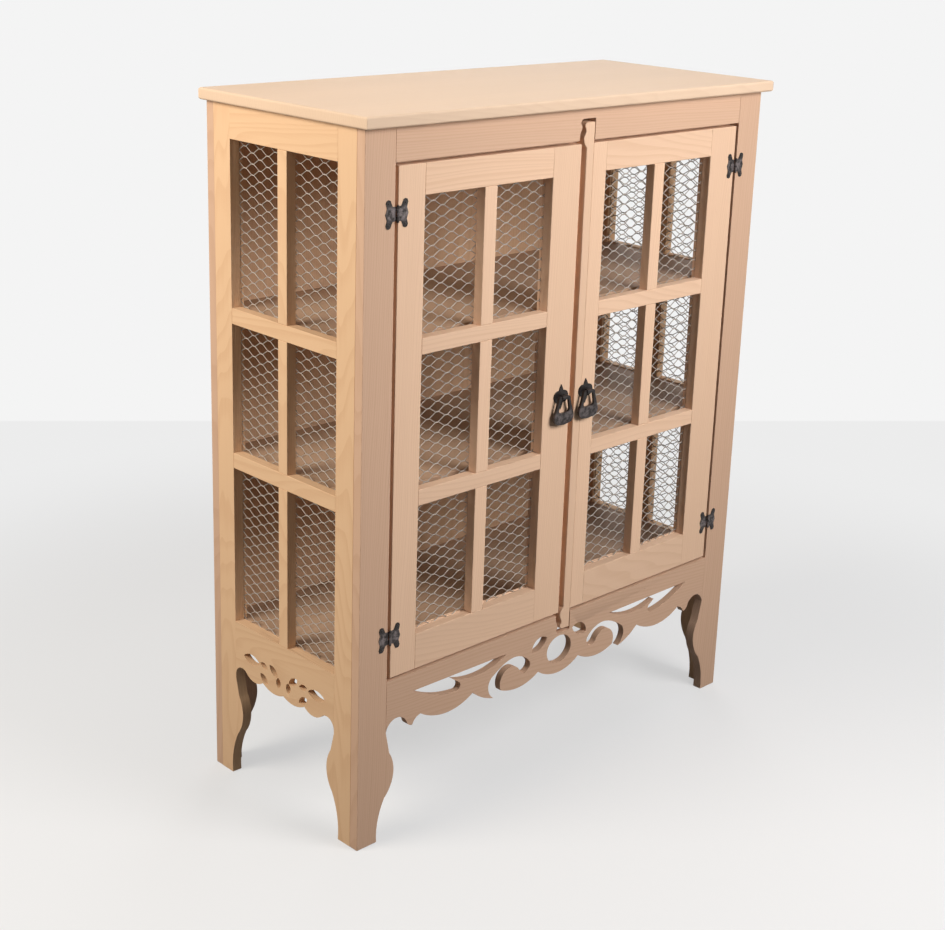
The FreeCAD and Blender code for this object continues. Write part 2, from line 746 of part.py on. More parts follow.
def hinge_leaf(x, z, side, spans):
    """A winged plate with a forged tip on each wing, and its share of the knuckles."""
    start = knuckle_radius + knuckle_gap
    reach = hinge_half_width - start

    def at(shares, flip=1):
        return [(x + side * (start + reach * u), z + flip * hinge_half_height * v) for u, v in shares]

    wing = [at(run) for run in wing_shares] + [at(reversed(run), -1) for run in reversed(wing_shares)]
    wing += [[wing[-1][-1], wing[0][0]]]
    leaf = face_of(wing, across_front(front)).extrude(FreeCAD.Vector(0, -leaf_thickness, 0))
    up = FreeCAD.Vector(0, 0, 1)
    for z0, z1 in spans:
        base = FreeCAD.Vector(x, hinge_axis_y(), z + z0)
        knuckle = Part.makeCylinder(knuckle_radius, z1 - z0, base, up)
        ends = sorted([x, x + side * (start + leaf_thickness)])
        web = block(ends[0], ends[1], front - leaf_thickness, front, z + z0, z + z1)
        leaf = leaf.fuse([knuckle, web])
    return leaf.removeSplitter()


def hinge_pin(x, z, radius):
    """The length between the frame leaf's two knuckles, which the door's knuckle turns on."""
    base = FreeCAD.Vector(x, hinge_axis_y(), z - knuckle_length / 2 + knuckle_radius)
    length = knuckle_length - 2 * knuckle_radius
    return Part.makeCylinder(radius, length, base, FreeCAD.Vector(0, 0, 1))


def build_hinges():
    third = knuckle_length / 3
    half = knuckle_length / 2
    fixed = [(-half, -half + third - knuckle_gap), (half - third + knuckle_gap, half)]
    moving = [(-half + third, half - third)]
    sides = [("left", left_door_x - hinge_gap / 2, 1), ("right", opening_right - hinge_gap / 2, -1)]
    bore_radius = hinge_pin_radius + pin_clearance
    for name, x, inward in sides:
        frame_leaves = []
        door_leaves = []
        for z in hinge_heights():
            pin = hinge_pin(x, z, hinge_pin_radius)
            frame_leaves.append(hinge_leaf(x, z, -inward, fixed).fuse(pin).removeSplitter())
            door_leaves.append(hinge_leaf(x, z, inward, moving).cut(hinge_pin(x, z, bore_radius)))
        save(name + "_frame_hinge_leaves", *frame_leaves)
        save(name + "_door_hinge_leaves", *door_leaves)


# Drop pulls
def pull_plate(x, z):
    """Back plate with a finial and two lobes, and the barrel that holds the bail."""
    def at(shares, side=1):
        points = []
        for u, v in shares:
            points.append((x + side * plate_half_width * u, z + (plate_rise if v > 0 else plate_drop) * v))
        return points

    half = [at(run) for run in plate_shares]
    other = [at(reversed(run), -1) for run in reversed(plate_shares)]
    plate = face_of(half + other, across_front(front)).extrude(FreeCAD.Vector(0, -plate_thickness, 0))
    along = FreeCAD.Vector(1, 0, 0)
    neck = block(x - neck_half_width, x + neck_half_width, front - pivot_reach, front,
                 z - neck_half_width, z + neck_half_width)
    start = FreeCAD.Vector(x - barrel_length / 2, front - pivot_reach, z)
    barrel = Part.makeCylinder(barrel_radius, barrel_length, start, along)
    bore = Part.makeCylinder(rod_radius + pin_clearance, barrel_length, start, along)
    return plate.fuse([neck, barrel]).cut(bore).removeSplitter()


def pull_bail(x, z):
    """Flat stirrup on the rod that it swings by, with a heavy round foot."""
    shoulder = barrel_length / 2 + bail_shoulder_gap

    def at(shares, side=1):
        return [(x + side * bail_half_width * u, z + bail_drop * v) for u, v in shares]

    def half(side):
        outer = [at(run, side) for run in bail_outer_shares]
        inner = [at(run, side) for run in bail_inner_shares]
        outer[0].insert(0, (x + side * shoulder, z + bail_wire))
        inner += [[inner[-1][-1], (x + side * shoulder, z - bail_wire)]]
        return outer, inner + [[inner[-1][-1], outer[0][0]]]

    outer, inner = half(1)
    outer_other, inner_other = half(-1)
    runs = outer + inner + outer_other + inner_other
    place = across_front(front - pivot_reach + bail_wire)
    bail = face_of(runs, place).extrude(FreeCAD.Vector(0, -2 * bail_wire, 0))
    rod = Part.makeCylinder(rod_radius, 2 * shoulder, FreeCAD.Vector(x - shoulder, front - pivot_reach, z),
                            FreeCAD.Vector(1, 0, 0))
    return bail.fuse(rod).removeSplitter()


def build_pulls():
    places = {
        "left": left_door_x + door_width - left_pull_inset,
        "right": right_door_x + right_pull_inset,
    }
    for name, x in places.items():
        save(name + "_pull_plate", pull_plate(x, pull_height))
        save(name + "_pull_bail", pull_bail(x, pull_height))


os.makedirs("parts", exist_ok=True)
build_carcass()
build_side_frames()
build_inside()
build_doors()
build_hinges()
build_pulls()
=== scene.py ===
import json
import math
import bmesh
import bpy
import numpy as np
from mathutils import Euler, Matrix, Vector


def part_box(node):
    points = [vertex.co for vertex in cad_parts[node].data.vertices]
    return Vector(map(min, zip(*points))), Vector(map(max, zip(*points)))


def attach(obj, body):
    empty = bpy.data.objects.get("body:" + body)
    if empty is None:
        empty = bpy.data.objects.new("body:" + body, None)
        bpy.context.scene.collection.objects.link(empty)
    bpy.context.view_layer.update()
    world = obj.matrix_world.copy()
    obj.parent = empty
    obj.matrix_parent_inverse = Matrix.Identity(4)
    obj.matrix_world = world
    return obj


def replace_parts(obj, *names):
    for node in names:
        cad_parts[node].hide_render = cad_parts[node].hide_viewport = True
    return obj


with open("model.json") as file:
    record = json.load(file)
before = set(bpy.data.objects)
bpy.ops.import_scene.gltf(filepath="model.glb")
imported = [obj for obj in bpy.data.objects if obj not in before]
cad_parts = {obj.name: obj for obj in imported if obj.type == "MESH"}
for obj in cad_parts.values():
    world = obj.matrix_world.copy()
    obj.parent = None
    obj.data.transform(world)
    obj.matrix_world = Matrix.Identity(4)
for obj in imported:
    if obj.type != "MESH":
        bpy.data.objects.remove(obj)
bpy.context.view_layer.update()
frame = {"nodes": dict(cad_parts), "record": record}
nodes = frame["nodes"]
record = frame["record"]
bodyOf = {node: body for body, members in record["behaviour"]["bodies"].items() for node in members}
slotOf = {part["node"]: part["material_slot"] for part in record["subparts"]}
jointAt = {joint["name"]: joint["pos_m"] for joint in record["behaviour"]["joints"]}
print("frame loaded:", len(nodes), "nodes")

# places that the finishes and the small pieces go by
hingeHalf = 0.023                        # from a hinge's end to its middle
railLow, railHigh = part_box("front_top_rail")
leavesLow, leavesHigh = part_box("left_frame_hinge_leaves")
hingeHeights = (leavesLow.z + hingeHalf, leavesHigh.z - hingeHalf)
rodHeight = jointAt["left_bail_swing"][2]

scene = bpy.context.scene
scene.view_settings.view_transform = "Standard"

# the camera stands before the cabinet's left corner, a little above its top
eye = {
    "place": (-2.1055, -2.0945, 1.5778),
    "turn": (72.733, -1.783, -43.866),      # degrees
    "lens": 63.404,                         # millimetres, as is the width below
    "width": 36.0,
    "rise": -0.0635,                        # shift, as a share of that width
}

cameraData = bpy.data.cameras.new("camera")
cameraData.sensor_width = eye["width"]
cameraData.lens = eye["lens"]
cameraData.shift_y = eye["rise"]
camera = bpy.data.objects.new("camera", cameraData)
camera.location = eye["place"]
camera.rotation_euler = Euler([math.radians(angle) for angle in eye["turn"]])
scene.collection.objects.link(camera)
scene.camera = camera


# a socket on its way through a shader: a sum on it adds the Math node
class Signal:
    def __init__(self, paint, socket):
        self.paint = paint
        self.socket = socket

    def __add__(self, other):
        return self.paint.maths("ADD", self, other)

    def __sub__(self, other):
        return self.paint.maths("SUBTRACT", self, other)

    def __rsub__(self, other):
        return self.paint.maths("SUBTRACT", other, self)

    def __mul__(self, other):
        return self.paint.maths("MULTIPLY", self, other)

    def __truediv__(self, other):
        return self.paint.maths("DIVIDE", self, other)

    def __rtruediv__(self, other):
        return self.paint.maths("DIVIDE", other, self)

    def __pow__(self, other):
        return self.paint.maths("POWER", self, other)

    __radd__ = __add__
    __rmul__ = __mul__


# the shader of one material, or of the world: every node of it comes from add()
class Paint:
    def __init__(self, owner):
        owner.use_nodes = True
        self.owner = owner
        self.tree = owner.node_tree
        self.tree.nodes.clear()

    def add(self, kind, settings=None, sockets=None, output=0):
        node = self.tree.nodes.new(kind)
        for key, value in (settings or {}).items():
            setattr(node, key, value)
        for key, value in (sockets or {}).items():
            if isinstance(value, Signal):
                self.tree.links.new(value.socket, node.inputs[key])
            else:
                node.inputs[key].default_value = value
        return Signal(self, node.outputs[output]) if node.outputs else None

    def maths(self, operation, *values):
        return self.add("ShaderNodeMath", {"operation": operation}, dict(enumerate(values)))

    def place(self):
        return self.add("ShaderNodeTexCoord", output="Object")

    def axes(self, vector):
        return [self.add("ShaderNodeSeparateXYZ", sockets={0: vector}, output=axis) for axis in range(3)]

    def vector(self, *values):
        return self.add("ShaderNodeCombineXYZ", sockets=dict(enumerate(values)))

    def noise(self, vector, scale, detail=2.0, rough=0.5):
        return self.add("ShaderNodeTexNoise", sockets={"Vector": vector, "Scale": scale, "Detail": detail,
                                                       "Roughness": rough})

    # first where amount is 0, second where it is 1
    def blend(self, amount, first, second):
        return self.add("ShaderNodeMix", {"data_type": "RGBA"}, {0: amount, 6: first, 7: second}, 2)

    # 0 below low, 1 above high, and an even curve from one to the other
    def between(self, value, low, high):
        return self.add("ShaderNodeMapRange", {"interpolation_type": "SMOOTHSTEP"},
                        {0: value, 1: low, 2: high, 3: 0.0, 4: 1.0})

    def bump(self, height, strength, distance):
        return self.add("ShaderNodeBump", sockets={"Strength": strength, "Distance": distance,
                                                   "Height": height})

    # 1 for the rays that come straight from the camera, a mirror or glass
    def seen(self):
        direct, mirrored, through = (self.add("ShaderNodeLightPath", output=kind) for kind in
                                     ("Is Camera Ray", "Is Glossy Ray", "Is Transmission Ray"))
        return self.maths("MAXIMUM", self.maths("MAXIMUM", direct, mirrored), through)

    def finish(self, sockets):
        shader = self.add("ShaderNodeBsdfPrincipled", sockets=sockets)
        self.add("ShaderNodeOutputMaterial", sockets={"Surface": shader})
        return self.owner


# a screen colour, 0 to 255, as linear light: ((c + 0.055) / 1.055) to the power 2.4
def tone(red, green, blue):
    return tuple(((c / 255 + 0.055) / 1.055) ** 2.4 for c in (red, green, blue)) + (1.0,)


# bare pine as it left the plane: soft rings, fine fibre, a pin knot here and there
pine = {
    "early": tone(209, 173, 147),        # spring wood
    "late": tone(182, 141, 111),         # summer wood, the dark line of a ring
    "knot": tone(140, 92, 58),
    "ringWidth": 0.0042,
    "ringVary": 2.2,                     # good years and lean ones
    "yearPace": 0.4,                     # how soon the one follows the other
    "ringDarkens": (0.35, 0.92),         # shares of a ring: from spring wood to summer wood
    "ringEnds": (0.93, 1.0),             # and back to the next ring's spring wood
    "ringShow": 0.28,
    "ringPatch": (0.35, 0.9),            # the least that a ring shows, and what a cloud adds
    "pithLean": 0.045,                   # how far the tree's middle leans along a board
    "pithAside": 0.03,                   # how far to one side of the board it lies
    "pithDepth": 0.11,                   # and how far behind
    "pithWander": 0.05,
    "wanderGrain": (1.44, 8.0),          # noise to the metre, along a board and across it
    "cloudGrain": (1.5, 7.0),
    "cloudShow": 0.10,
    "fibreGrain": (9.0, 420.0),
    "fibreShow": 0.30,
    "knotGrain": (1.7, 8.0),
    "knotSize": (0.03, 0.075),           # from its dark middle to its edge
    "knotChance": (0.86, 0.88),          # one cell in eight has a knot
    "knotShow": 0.75,
    "boardVary": 0.10,                   # one board to the next
    "boardShift": (3.7, 0.61, 0.43),     # what a board's seed moves its pattern by
    "boardShuffle": 7.31,                # and what makes its depth of colour uneven
    "roughness": 0.70,
    "fibreRough": 0.12,
    "lateSmooth": 0.05,
    "gloss": 0.22,
    "fibreRise": 0.7,
    "lateRise": 0.35,
    "reliefShow": 0.25,
    "reliefDepth": 0.0006,
}
topPine = dict(pine, early=tone(218, 191, 166), late=tone(198, 165, 138), ringShow=0.2)
doorPine = dict(pine, early=tone(231, 195, 166), late=tone(204, 162, 128))
# the side boards: a warmer, paler copy of the pine, painted light standing for the warm lamp on the left
# side
sidePineLit = dict(pine, early=tone(224, 187, 150), late=tone(196, 150, 112))
# the shelves and floor inside: a darker copy of the pine, painted shade standing for the dim inside of the
# cabinet
innerPineShaded = dict(pine, early=tone(186, 155, 130), late=tone(158, 123, 97))
backPine = dict(pine, early=tone(208, 173, 142), late=tone(180, 141, 107))


# Rings: the share of the way from one ring to the next is the fraction of
#   (distance from the pith) / ring width, plus a slow noise of that same count,
# where the pith is a line that leans along the board and wanders slowly.
# The colour goes from spring to summer wood by ring and fibre, and each board has its own depth.
def pineMaterial(name, look, along):
    paint = Paint(bpy.data.materials.new(name))
    axes = paint.axes(paint.place())
    aside, behind = (axes[axis] for axis in range(3) if axis != along)
    seed = paint.add("ShaderNodeAttribute", {"attribute_name": "boardSeed"}, output="Fac")
    run, first, second = (axis + seed * shift for axis, shift in zip((axes[along], aside, behind),
                                                                     look["boardShift"]))

    def grain(kind):
        lengthways, across = look[kind + "Grain"]
        return paint.vector(run * lengthways, first * across, second * across)

    wander = paint.noise(grain("wander"), 1.0)
    pithFirst = aside - run * look["pithLean"] + wander * look["pithWander"] + look["pithAside"]
    pithSecond = behind + look["pithDepth"]
    count = (pithFirst * pithFirst + pithSecond * pithSecond) ** 0.5 / look["ringWidth"]
    years = paint.noise(paint.vector(count * look["yearPace"], seed), 1.0)
    ring = paint.maths("FRACT", count + years * look["ringVary"])
    late = paint.between(ring, *look["ringDarkens"]) * (1.0 - paint.between(ring, *look["ringEnds"]))
    fibre = paint.noise(grain("fibre"), 1.0, 3.0, 0.6)
    cloud = paint.noise(grain("cloud"), 1.0)
    least, clouded = look["ringPatch"]
    shade = late * (least + cloud * clouded) * look["ringShow"] + (fibre - 0.5) * look["fibreShow"]
    body = paint.blend(shade, look["early"], look["late"])
    board = paint.maths("FRACT", seed * look["boardShuffle"])
    depth = 1.0 + (board - 0.5) * look["boardVary"] + (cloud - 0.5) * look["cloudShow"]
    body = paint.add("ShaderNodeVectorMath", {"operation": "SCALE"}, {0: body, "Scale": depth})
    cells = {"Vector": grain("knot"), "Scale": 1.0}
    spot = paint.add("ShaderNodeTexVoronoi", sockets=cells, output="Distance")
    chance = paint.axes(paint.add("ShaderNodeTexVoronoi", sockets=cells, output="Color"))[0]
    knot = (1.0 - paint.between(spot, *look["knotSize"])) * paint.between(chance, *look["knotChance"])
    relief = fibre * look["fibreRise"] + late * look["lateRise"]
    return paint.finish({
        "Base Color": paint.blend(knot * look["knotShow"], body, look["knot"]),
        "Roughness": look["roughness"] + (fibre - 0.5) * look["fibreRough"] - late * look["lateSmooth"],
        "Specular IOR Level": look["gloss"],
        "Normal": paint.bump(relief, look["reliefShow"], look["reliefDepth"]),
    })


iron = {
    "dark": tone(30, 24, 22),
    "pale": tone(122, 112, 112),
    "metal": 0.45,
    "roughness": 0.40,
    "roughVary": 0.25,
    "hammer": 420.0,                     # dents to the metre
    "dentShow": 0.35,
    "dentDepth": 0.0006,
    "patches": 150.0,                    # worn patches to the metre
    "worn": (0.36, 0.66),                # their noise, from black to bare
    "wornEverywhere": 0.08,
    # paleness at each hinge's middle and at the pull's foot: partly wear, partly a painted highlight
    "hingeWorn": 0.85,
    "pullWorn": 0.45,
    "pullFoot": 0.036,                   # from a bail's rod down to its foot, paled there: partly a hand's wear, partly a painted highlight
    "rubbed": (0.006, 0.0145),           # pale up to here, and black from there: partly wear, partly painted highlight
}


# Black scale; the metal shows where a patchy noise is high, most of all in bands at each hinge's middle and
# at the pull's foot, which are partly wear and partly a painted highlight.
def ironMaterial():
    paint = Paint(bpy.data.materials.new("blackIron"))
    where = paint.place()
    dents = paint.noise(where, iron["hammer"])
    height = paint.axes(where)[2]
    # bands of wear and painted highlight at each hinge's middle and at the pull's foot
    spots = [(middle, iron["hingeWorn"]) for middle in hingeHeights]
    rubbed = iron["wornEverywhere"]
    for middle, share in (*spots, (rodHeight - iron["pullFoot"], iron["pullWorn"])):
        away = paint.maths("ABSOLUTE", height - middle)
        rubbed = rubbed + (1.0 - paint.between(away, *iron["rubbed"])) * share
    wear = paint.between(paint.noise(where, iron["patches"], 4.0, 0.6), *iron["worn"])
    return paint.finish({
        "Base Color": paint.blend(wear * rubbed, iron["dark"], iron["pale"]),
        "Metallic": iron["metal"],
        "Roughness": iron["roughness"] + (dents - 0.5) * iron["roughVary"],
        "Normal": paint.bump(dents, iron["dentShow"], iron["dentDepth"]),
    })


wire = {
    "bright": tone(194, 184, 174),
    "dull": tone(138, 129, 121),
    "metal": 0.25,
    "roughness": 0.5,
    "roughVary": 0.3,
    "spangle": 160.0,                    # patches to the metre
}


# Zinc: bright and dull by the spangle noise, and rougher where bright.
def wireMaterial():
    paint = Paint(bpy.data.materials.new("galvanisedWire"))
    spangle = paint.noise(paint.place(), wire["spangle"], 3.0, 0.6)
    return paint.finish({
        "Base Color": paint.blend(spangle, wire["dull"], wire["bright"]),
        "Metallic": wire["metal"],
        "Roughness": wire["roughness"] + (spangle - 0.5) * wire["roughVary"],
    })


# each kind of board, and the axes that its grain runs along: 0 sideways, 1 front to back, 2 up
timberKinds = {
    "top": (topPine, (0,)),
    "door": (doorPine, (0, 2)),
    "side": (sidePineLit, (1, 2)),
    "inner": (innerPineShaded, (0, 1)),
    "back": (backPine, (2,)),
    "frame": (pine, (0, 2)),
}
timber = {kind: {axis: pineMaterial("pine" + kind.capitalize() + "XYZ"[axis], look, axis) for axis in runs}
          for kind, (look, runs) in timberKinds.items()}
ironPaint = ironMaterial()
wirePaint = wireMaterial()
print("materials made")


# boards that lie level; the others stand, and the grain runs along each
lyingBoards = ("shelf", "rail", "apron", "cross", "floor", "top_board")


def grainAxis(node):
    if "cleats" in node:
        return 1
    if not any(word in node for word in lyingBoards):
        return 2
    return 1 if node.startswith("side_") else 0


def timberKind(node):
    if slotOf[node] == "top_pine":
        return "top"
    if slotOf[node] == "inner_pine":
        return "back" if node == "back_panel" else "inner"
    if "_door_" in node:
        return "door"
    return "side" if node.startswith("side_") else "frame"


# boards and ironwork keep the solid's shape, with the sharp edges taken off
easing = {
    "board": {"width": 0.0011, "segments": 2},
    "fretwork": {"width": 0.0009, "segments": 2},
    "iron": {"width": 0.0004, "segments": 2},
    "bail": {"width": 0.0017, "segments": 4},
    "sharpFrom": 38.0,                   # degrees
    "flatTo": 0.4,                       # degrees: faces this level are one
    "merge": 0.000004,                   # metres: corners this close are one
}


def pieceName(node, ending):
    first, *others = node.split("_")
    return first + "".join(word.capitalize() for word in others) + ending


def placePiece(name, mesh, body):
    piece = bpy.data.objects.new(name, mesh)
    scene.collection.objects.link(piece)
    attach(piece, body)
    return piece


def easedCopy(node, ending, material, rule):
    sharp = math.radians(easing["sharpFrom"])
    mesh = nodes[node].data.copy()
    shape = bmesh.new()
    shape.from_mesh(mesh)
    bmesh.ops.remove_doubles(shape, verts=shape.verts, dist=easing["merge"])
    bmesh.ops.dissolve_limit(shape, angle_limit=math.radians(easing["flatTo"]), verts=shape.verts,
                             edges=shape.edges)
    shape.to_mesh(mesh)
    shape.free()
    mesh.materials.clear()
    mesh.materials.append(material)
    mesh.shade_smooth()
    mesh.set_sharp_from_angle(angle=sharp)
    piece = placePiece(pieceName(node, ending), mesh, bodyOf[node])
    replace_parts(piece, node)
    bevel = piece.modifiers.new("ease", "BEVEL")
    bevel.width = rule["width"]
    bevel.segments = rule["segments"]
    bevel.limit_method = "ANGLE"
    bevel.angle_limit = sharp
    bevel.harden_normals = True
    bevel.miter_outer = "MITER_ARC"
    return mesh


# each board's own number, which moves the grain's pattern on it
seeds = {"first": 0.37, "step": 0.618, "bead": 0.21}


def setSeed(mesh, seed):
    layer = mesh.attributes.new("boardSeed", "FLOAT", "POINT")
    layer.data.foreach_set("value", np.full(len(mesh.vertices), seed, np.float32))


woodNodes = sorted(node for node in nodes if slotOf[node].endswith("pine"))
for count, node in enumerate(woodNodes):
    wood = timber[timberKind(node)][grainAxis(node)]
    mesh = easedCopy(node, "Eased", wood, easing["fretwork" if "apron" in node else "board"])
    setSeed(mesh, seeds["first"] + count * seeds["step"])
print("boards eased:", len(woodNodes))

ironNodes = sorted(node for node in nodes if slotOf[node] == "black_iron")
for node in ironNodes:
    easedCopy(node, "Iron", ironPaint, easing["bail" if "bail" in node else "iron"])
print("ironwork eased:", len(ironNodes))


def surface(name, points, faceGroups, material):
    mesh = bpy.data.meshes.new(name)
    mesh.from_pydata(points.tolist(), [], [face for group in faceGroups for face in group.tolist()])
    mesh.materials.append(material)
    mesh.shade_smooth()
    return mesh


seamGap = 0.00001                        # metres: corners of a new shape this close are one


# poles and seams merged, faces turned outwards
def closeUp(mesh):
    shape = bmesh.new()
    shape.from_mesh(mesh)
    bmesh.ops.remove_doubles(shape, verts=shape.verts, dist=seamGap)
    bmesh.ops.recalc_face_normals(shape, faces=shape.faces)
    shape.to_mesh(mesh)
    shape.free()


# the quadrant bead behind the front top rail, which the doors close against
doorStop = {
    "reach": 0.424,                      # left and right of the middle
    "lap": 0.007,                        # up behind the rail
    "step": 0.0025,                      # below the rail's edge, where it draws clear of the doors
    "drop": 0.017,                       # down behind the doors
    "deep": 0.016,
    "clear": 0.0006,                     # to the doors' backs
    "round": 0.012,
    "steps": 9,
}


# Bead: the profile (front to back, up) is carried from one end to the other, with a flat cap on each.
# Its lower back edge is a quarter circle, front to back: rear - round + round cos(turn), and
#   up: low + round + round sin(turn), with turn from straight down to level.
def stopBead():
    back, edge, radius = railHigh.y, railLow.z, doorStop["round"]
    face, rear = back + doorStop["clear"], back + doorStop["deep"]
    low, step, high = edge - doorStop["drop"], edge - doorStop["step"], edge + doorStop["lap"]
    turn = np.linspace(-math.pi / 2, 0, doorStop["steps"])
    curve = zip(rear - radius + radius * np.cos(turn), low + radius + radius * np.sin(turn))
    profile = np.array([(back, high), (back, step), (face, step), (face, low), *curve, (rear, high)])
    ends = [np.column_stack([np.full(len(profile), sign * doorStop["reach"]), profile]) for sign in (-1, 1)]
    index = np.arange(2 * len(profile)).reshape(2, -1)
    beside = np.roll(index, -1, axis=1)
    walls = np.stack([index[0], beside[0], beside[1], index[1]], axis=1)
    return np.concatenate(ends), [walls, index[:1], index[1:, ::-1]]


mesh = surface("doorStopBead", *stopBead(), timber["frame"][0])
closeUp(mesh)
mesh.set_sharp_from_angle(angle=math.radians(easing["sharpFrom"]))
setSeed(mesh, seeds["bead"])
placePiece("doorStopBead", mesh, "carcass")
print("door stop set")


# netting: each wire zigzags across the light and twists in turn with the one above and the one below
netting = {
    "pitch": 0.0182,                     # from one twist to the next above it
    "twist": 0.0090,                     # length of a twist
    "slant": 0.0118,                     # and of the slant after it, along the wire
    "gauge": 0.0016,
    "lay": 0.0007,                       # from a twist's middle to each of its wires
    "twistSteps": 6,
    "sides": 6,
    "leastStep": 0.0000001,              # a wire that is cut off at a side stands still past it
}


# Along a twist, with turn from 0 to a full circle, the wire circles the twist's middle:
#   height = middle + lay cos(turn), depth = lay sin(turn), both towards its partner wire.
# Between two twists it goes straight, half a pitch up or down.
def netWires(width, height):
    pitch, twist, lay = netting["pitch"], netting["twist"], netting["lay"]
    span = twist + netting["slant"]
    share = np.linspace(0, 1, netting["twistSteps"])
    column = np.arange(-1, math.ceil(width / span) + 2)
    number = np.arange(-1, math.ceil(2 * height / pitch) + 3)[:, None]
    along = (column[:, None] * span + share * twist).ravel()
    even = np.repeat(column % 2 == 0, len(share))
    turn = np.tile(share * 2 * math.pi, len(column))
    evenMiddle = np.ceil(number / 2) * pitch
    oddMiddle = (np.floor(number / 2) + 0.5) * pitch
    middle = np.where(even, evenMiddle, oddMiddle)
    partner = np.where(even, oddMiddle, evenMiddle)
    side = np.sign(partner - middle)
    up = middle + side * lay * np.cos(turn)
    return np.stack([np.broadcast_to(along, up.shape), up, side * lay * np.sin(turn)], axis=2)


# A tube round each path: point = path + radius (cos(turn) level + sin(turn) upright),
# with level and upright square to the path, walls from ring to ring, and a flat cap on each end.
def tubes(paths, radius, sides):
    ahead = np.gradient(paths, axis=1)
    level = np.cross(ahead, (0.0, 0.0, 1.0))
    upright = np.cross(level, ahead)
    level /= np.linalg.norm(level, axis=2, keepdims=True)
    upright /= np.linalg.norm(upright, axis=2, keepdims=True)
    turn = (np.arange(sides) + 0.5)[:, None] * 2 * math.pi / sides
    spokes = np.cos(turn) * level[:, :, None] + np.sin(turn) * upright[:, :, None]
    rings = paths[:, :, None] + radius * spokes
    index = np.arange(rings.shape[0] * rings.shape[1] * sides).reshape(rings.shape[:3])
    beside = np.roll(index, -1, axis=2)
    walls = np.stack([index[:, :-1], index[:, 1:], beside[:, 1:], beside[:, :-1]], axis=3).reshape(-1, 4)
    return rings.reshape(-1, 3), [walls, index[:, 0], index[:, -1, ::-1]]


# a net hangs where its sheet is, over the sheet's middle; a side net runs front to back
def hangNet(node):
    low, high = (np.array(corner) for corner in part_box(node))
    onSide = node.startswith("side_")
    flat, deep = (1, 0) if onSide else (0, 1)
    width, height = high[flat] - low[flat], high[2] - low[2]
    radius = netting["gauge"] / 2
    paths = netWires(width, height)
    lowest, highest = paths[:, :, 1].min(axis=1), paths[:, :, 1].max(axis=1)
    paths = paths[(lowest > radius) & (highest < height - radius)]
    paths[:, :, 0] = np.clip(paths[:, :, 0], 0.0, width)
    moving = np.flatnonzero(np.diff(paths[0, :, 0]) > netting["leastStep"])
    points, faces = tubes(paths[:, moving[0]:moving[-1] + 2], radius, netting["sides"])
    placed = np.empty_like(points)
    placed[:, flat] = low[flat] + points[:, 0]
    placed[:, 2] = low[2] + points[:, 1]
    placed[:, deep] = (low[deep] + high[deep]) / 2 + points[:, 2]
    if not onSide:
        faces = [group[:, ::-1] for group in faces]    # this placing mirrors the net
    mesh = surface(node, placed, faces, wirePaint)
    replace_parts(placePiece(pieceName(node, "Wires"), mesh, bodyOf[node]), node)


for node in sorted(node for node in nodes if slotOf[node] == "galvanised_netting"):
    hangNet(node)
print("netting hung")


# round-headed nails in the ironwork, and the balls that the hinge pins end in
nails = {
    "sides": 14,
    "headSteps": 5,
    "rise": 0.0011,
    "hingeRadius": 0.0021,
    "hingeSpots": ((0.0172, 0.0170), (0.0172, -0.0170), (0.0110, 0.0)),   # out from the pin, and up
    "leafThick": 0.0011,
    "plateRadius": 0.0016,
    "plateSpots": (0.0150, -0.0150),     # up from the bail's rod
    "plateThick": 0.0019,
    "pinEnd": 0.0122,                    # up or down from the hinge's middle
    "ballRadius": 0.0024,
    "ballSteps": 7,
    "ballHeight": 0.8,                   # as a share of its width
}


# Turned shape: each profile point (radius, height) is carried round,
#   x = radius cos(turn), y = radius sin(turn).
def turned(profile):
    radius, height = np.array(profile).T
    turn = np.arange(nails["sides"]) * 2 * math.pi / nails["sides"]
    rings = np.stack([np.outer(radius, np.cos(turn)), np.outer(radius, np.sin(turn)),
                      np.outer(height, np.ones(len(turn)))], axis=2)
    index = np.arange(rings.shape[0] * len(turn)).reshape(rings.shape[:2])
    beside = np.roll(index, -1, axis=1)
    walls = np.stack([index[:-1], beside[:-1], beside[1:], index[1:]], axis=2)
    return rings.reshape(-1, 3), walls.reshape(-1, 4)


# Head: radius cos(lift) out and rise sin(lift) up, on a flat base.
def nailHead(radius):
    lift = np.linspace(0, math.pi / 2, nails["headSteps"])
    points, faces = turned([(0, 0), *zip(radius * np.cos(lift), nails["rise"] * np.sin(lift))])
    return points[:, [0, 2, 1]] * (1, -1, 1), faces      # facing the front


# Ball: radius cos(lift) out and ball height x radius sin(lift) up.
def pinBall(radius):
    lift = np.linspace(-math.pi / 2, math.pi / 2, nails["ballSteps"])
    return turned(list(zip(radius * np.cos(lift), nails["ballHeight"] * radius * np.sin(lift))))


# one piece of like studs, one at each place
def studSet(name, body, shape, places):
    points, faces = shape
    steps = np.arange(len(places))[:, None, None] * len(points)
    placed = (points + np.array(places)[:, None]).reshape(-1, 3)
    mesh = surface(name, placed, [(faces + steps).reshape(-1, 4)], ironPaint)
    closeUp(mesh)
    placePiece(name, mesh, body)


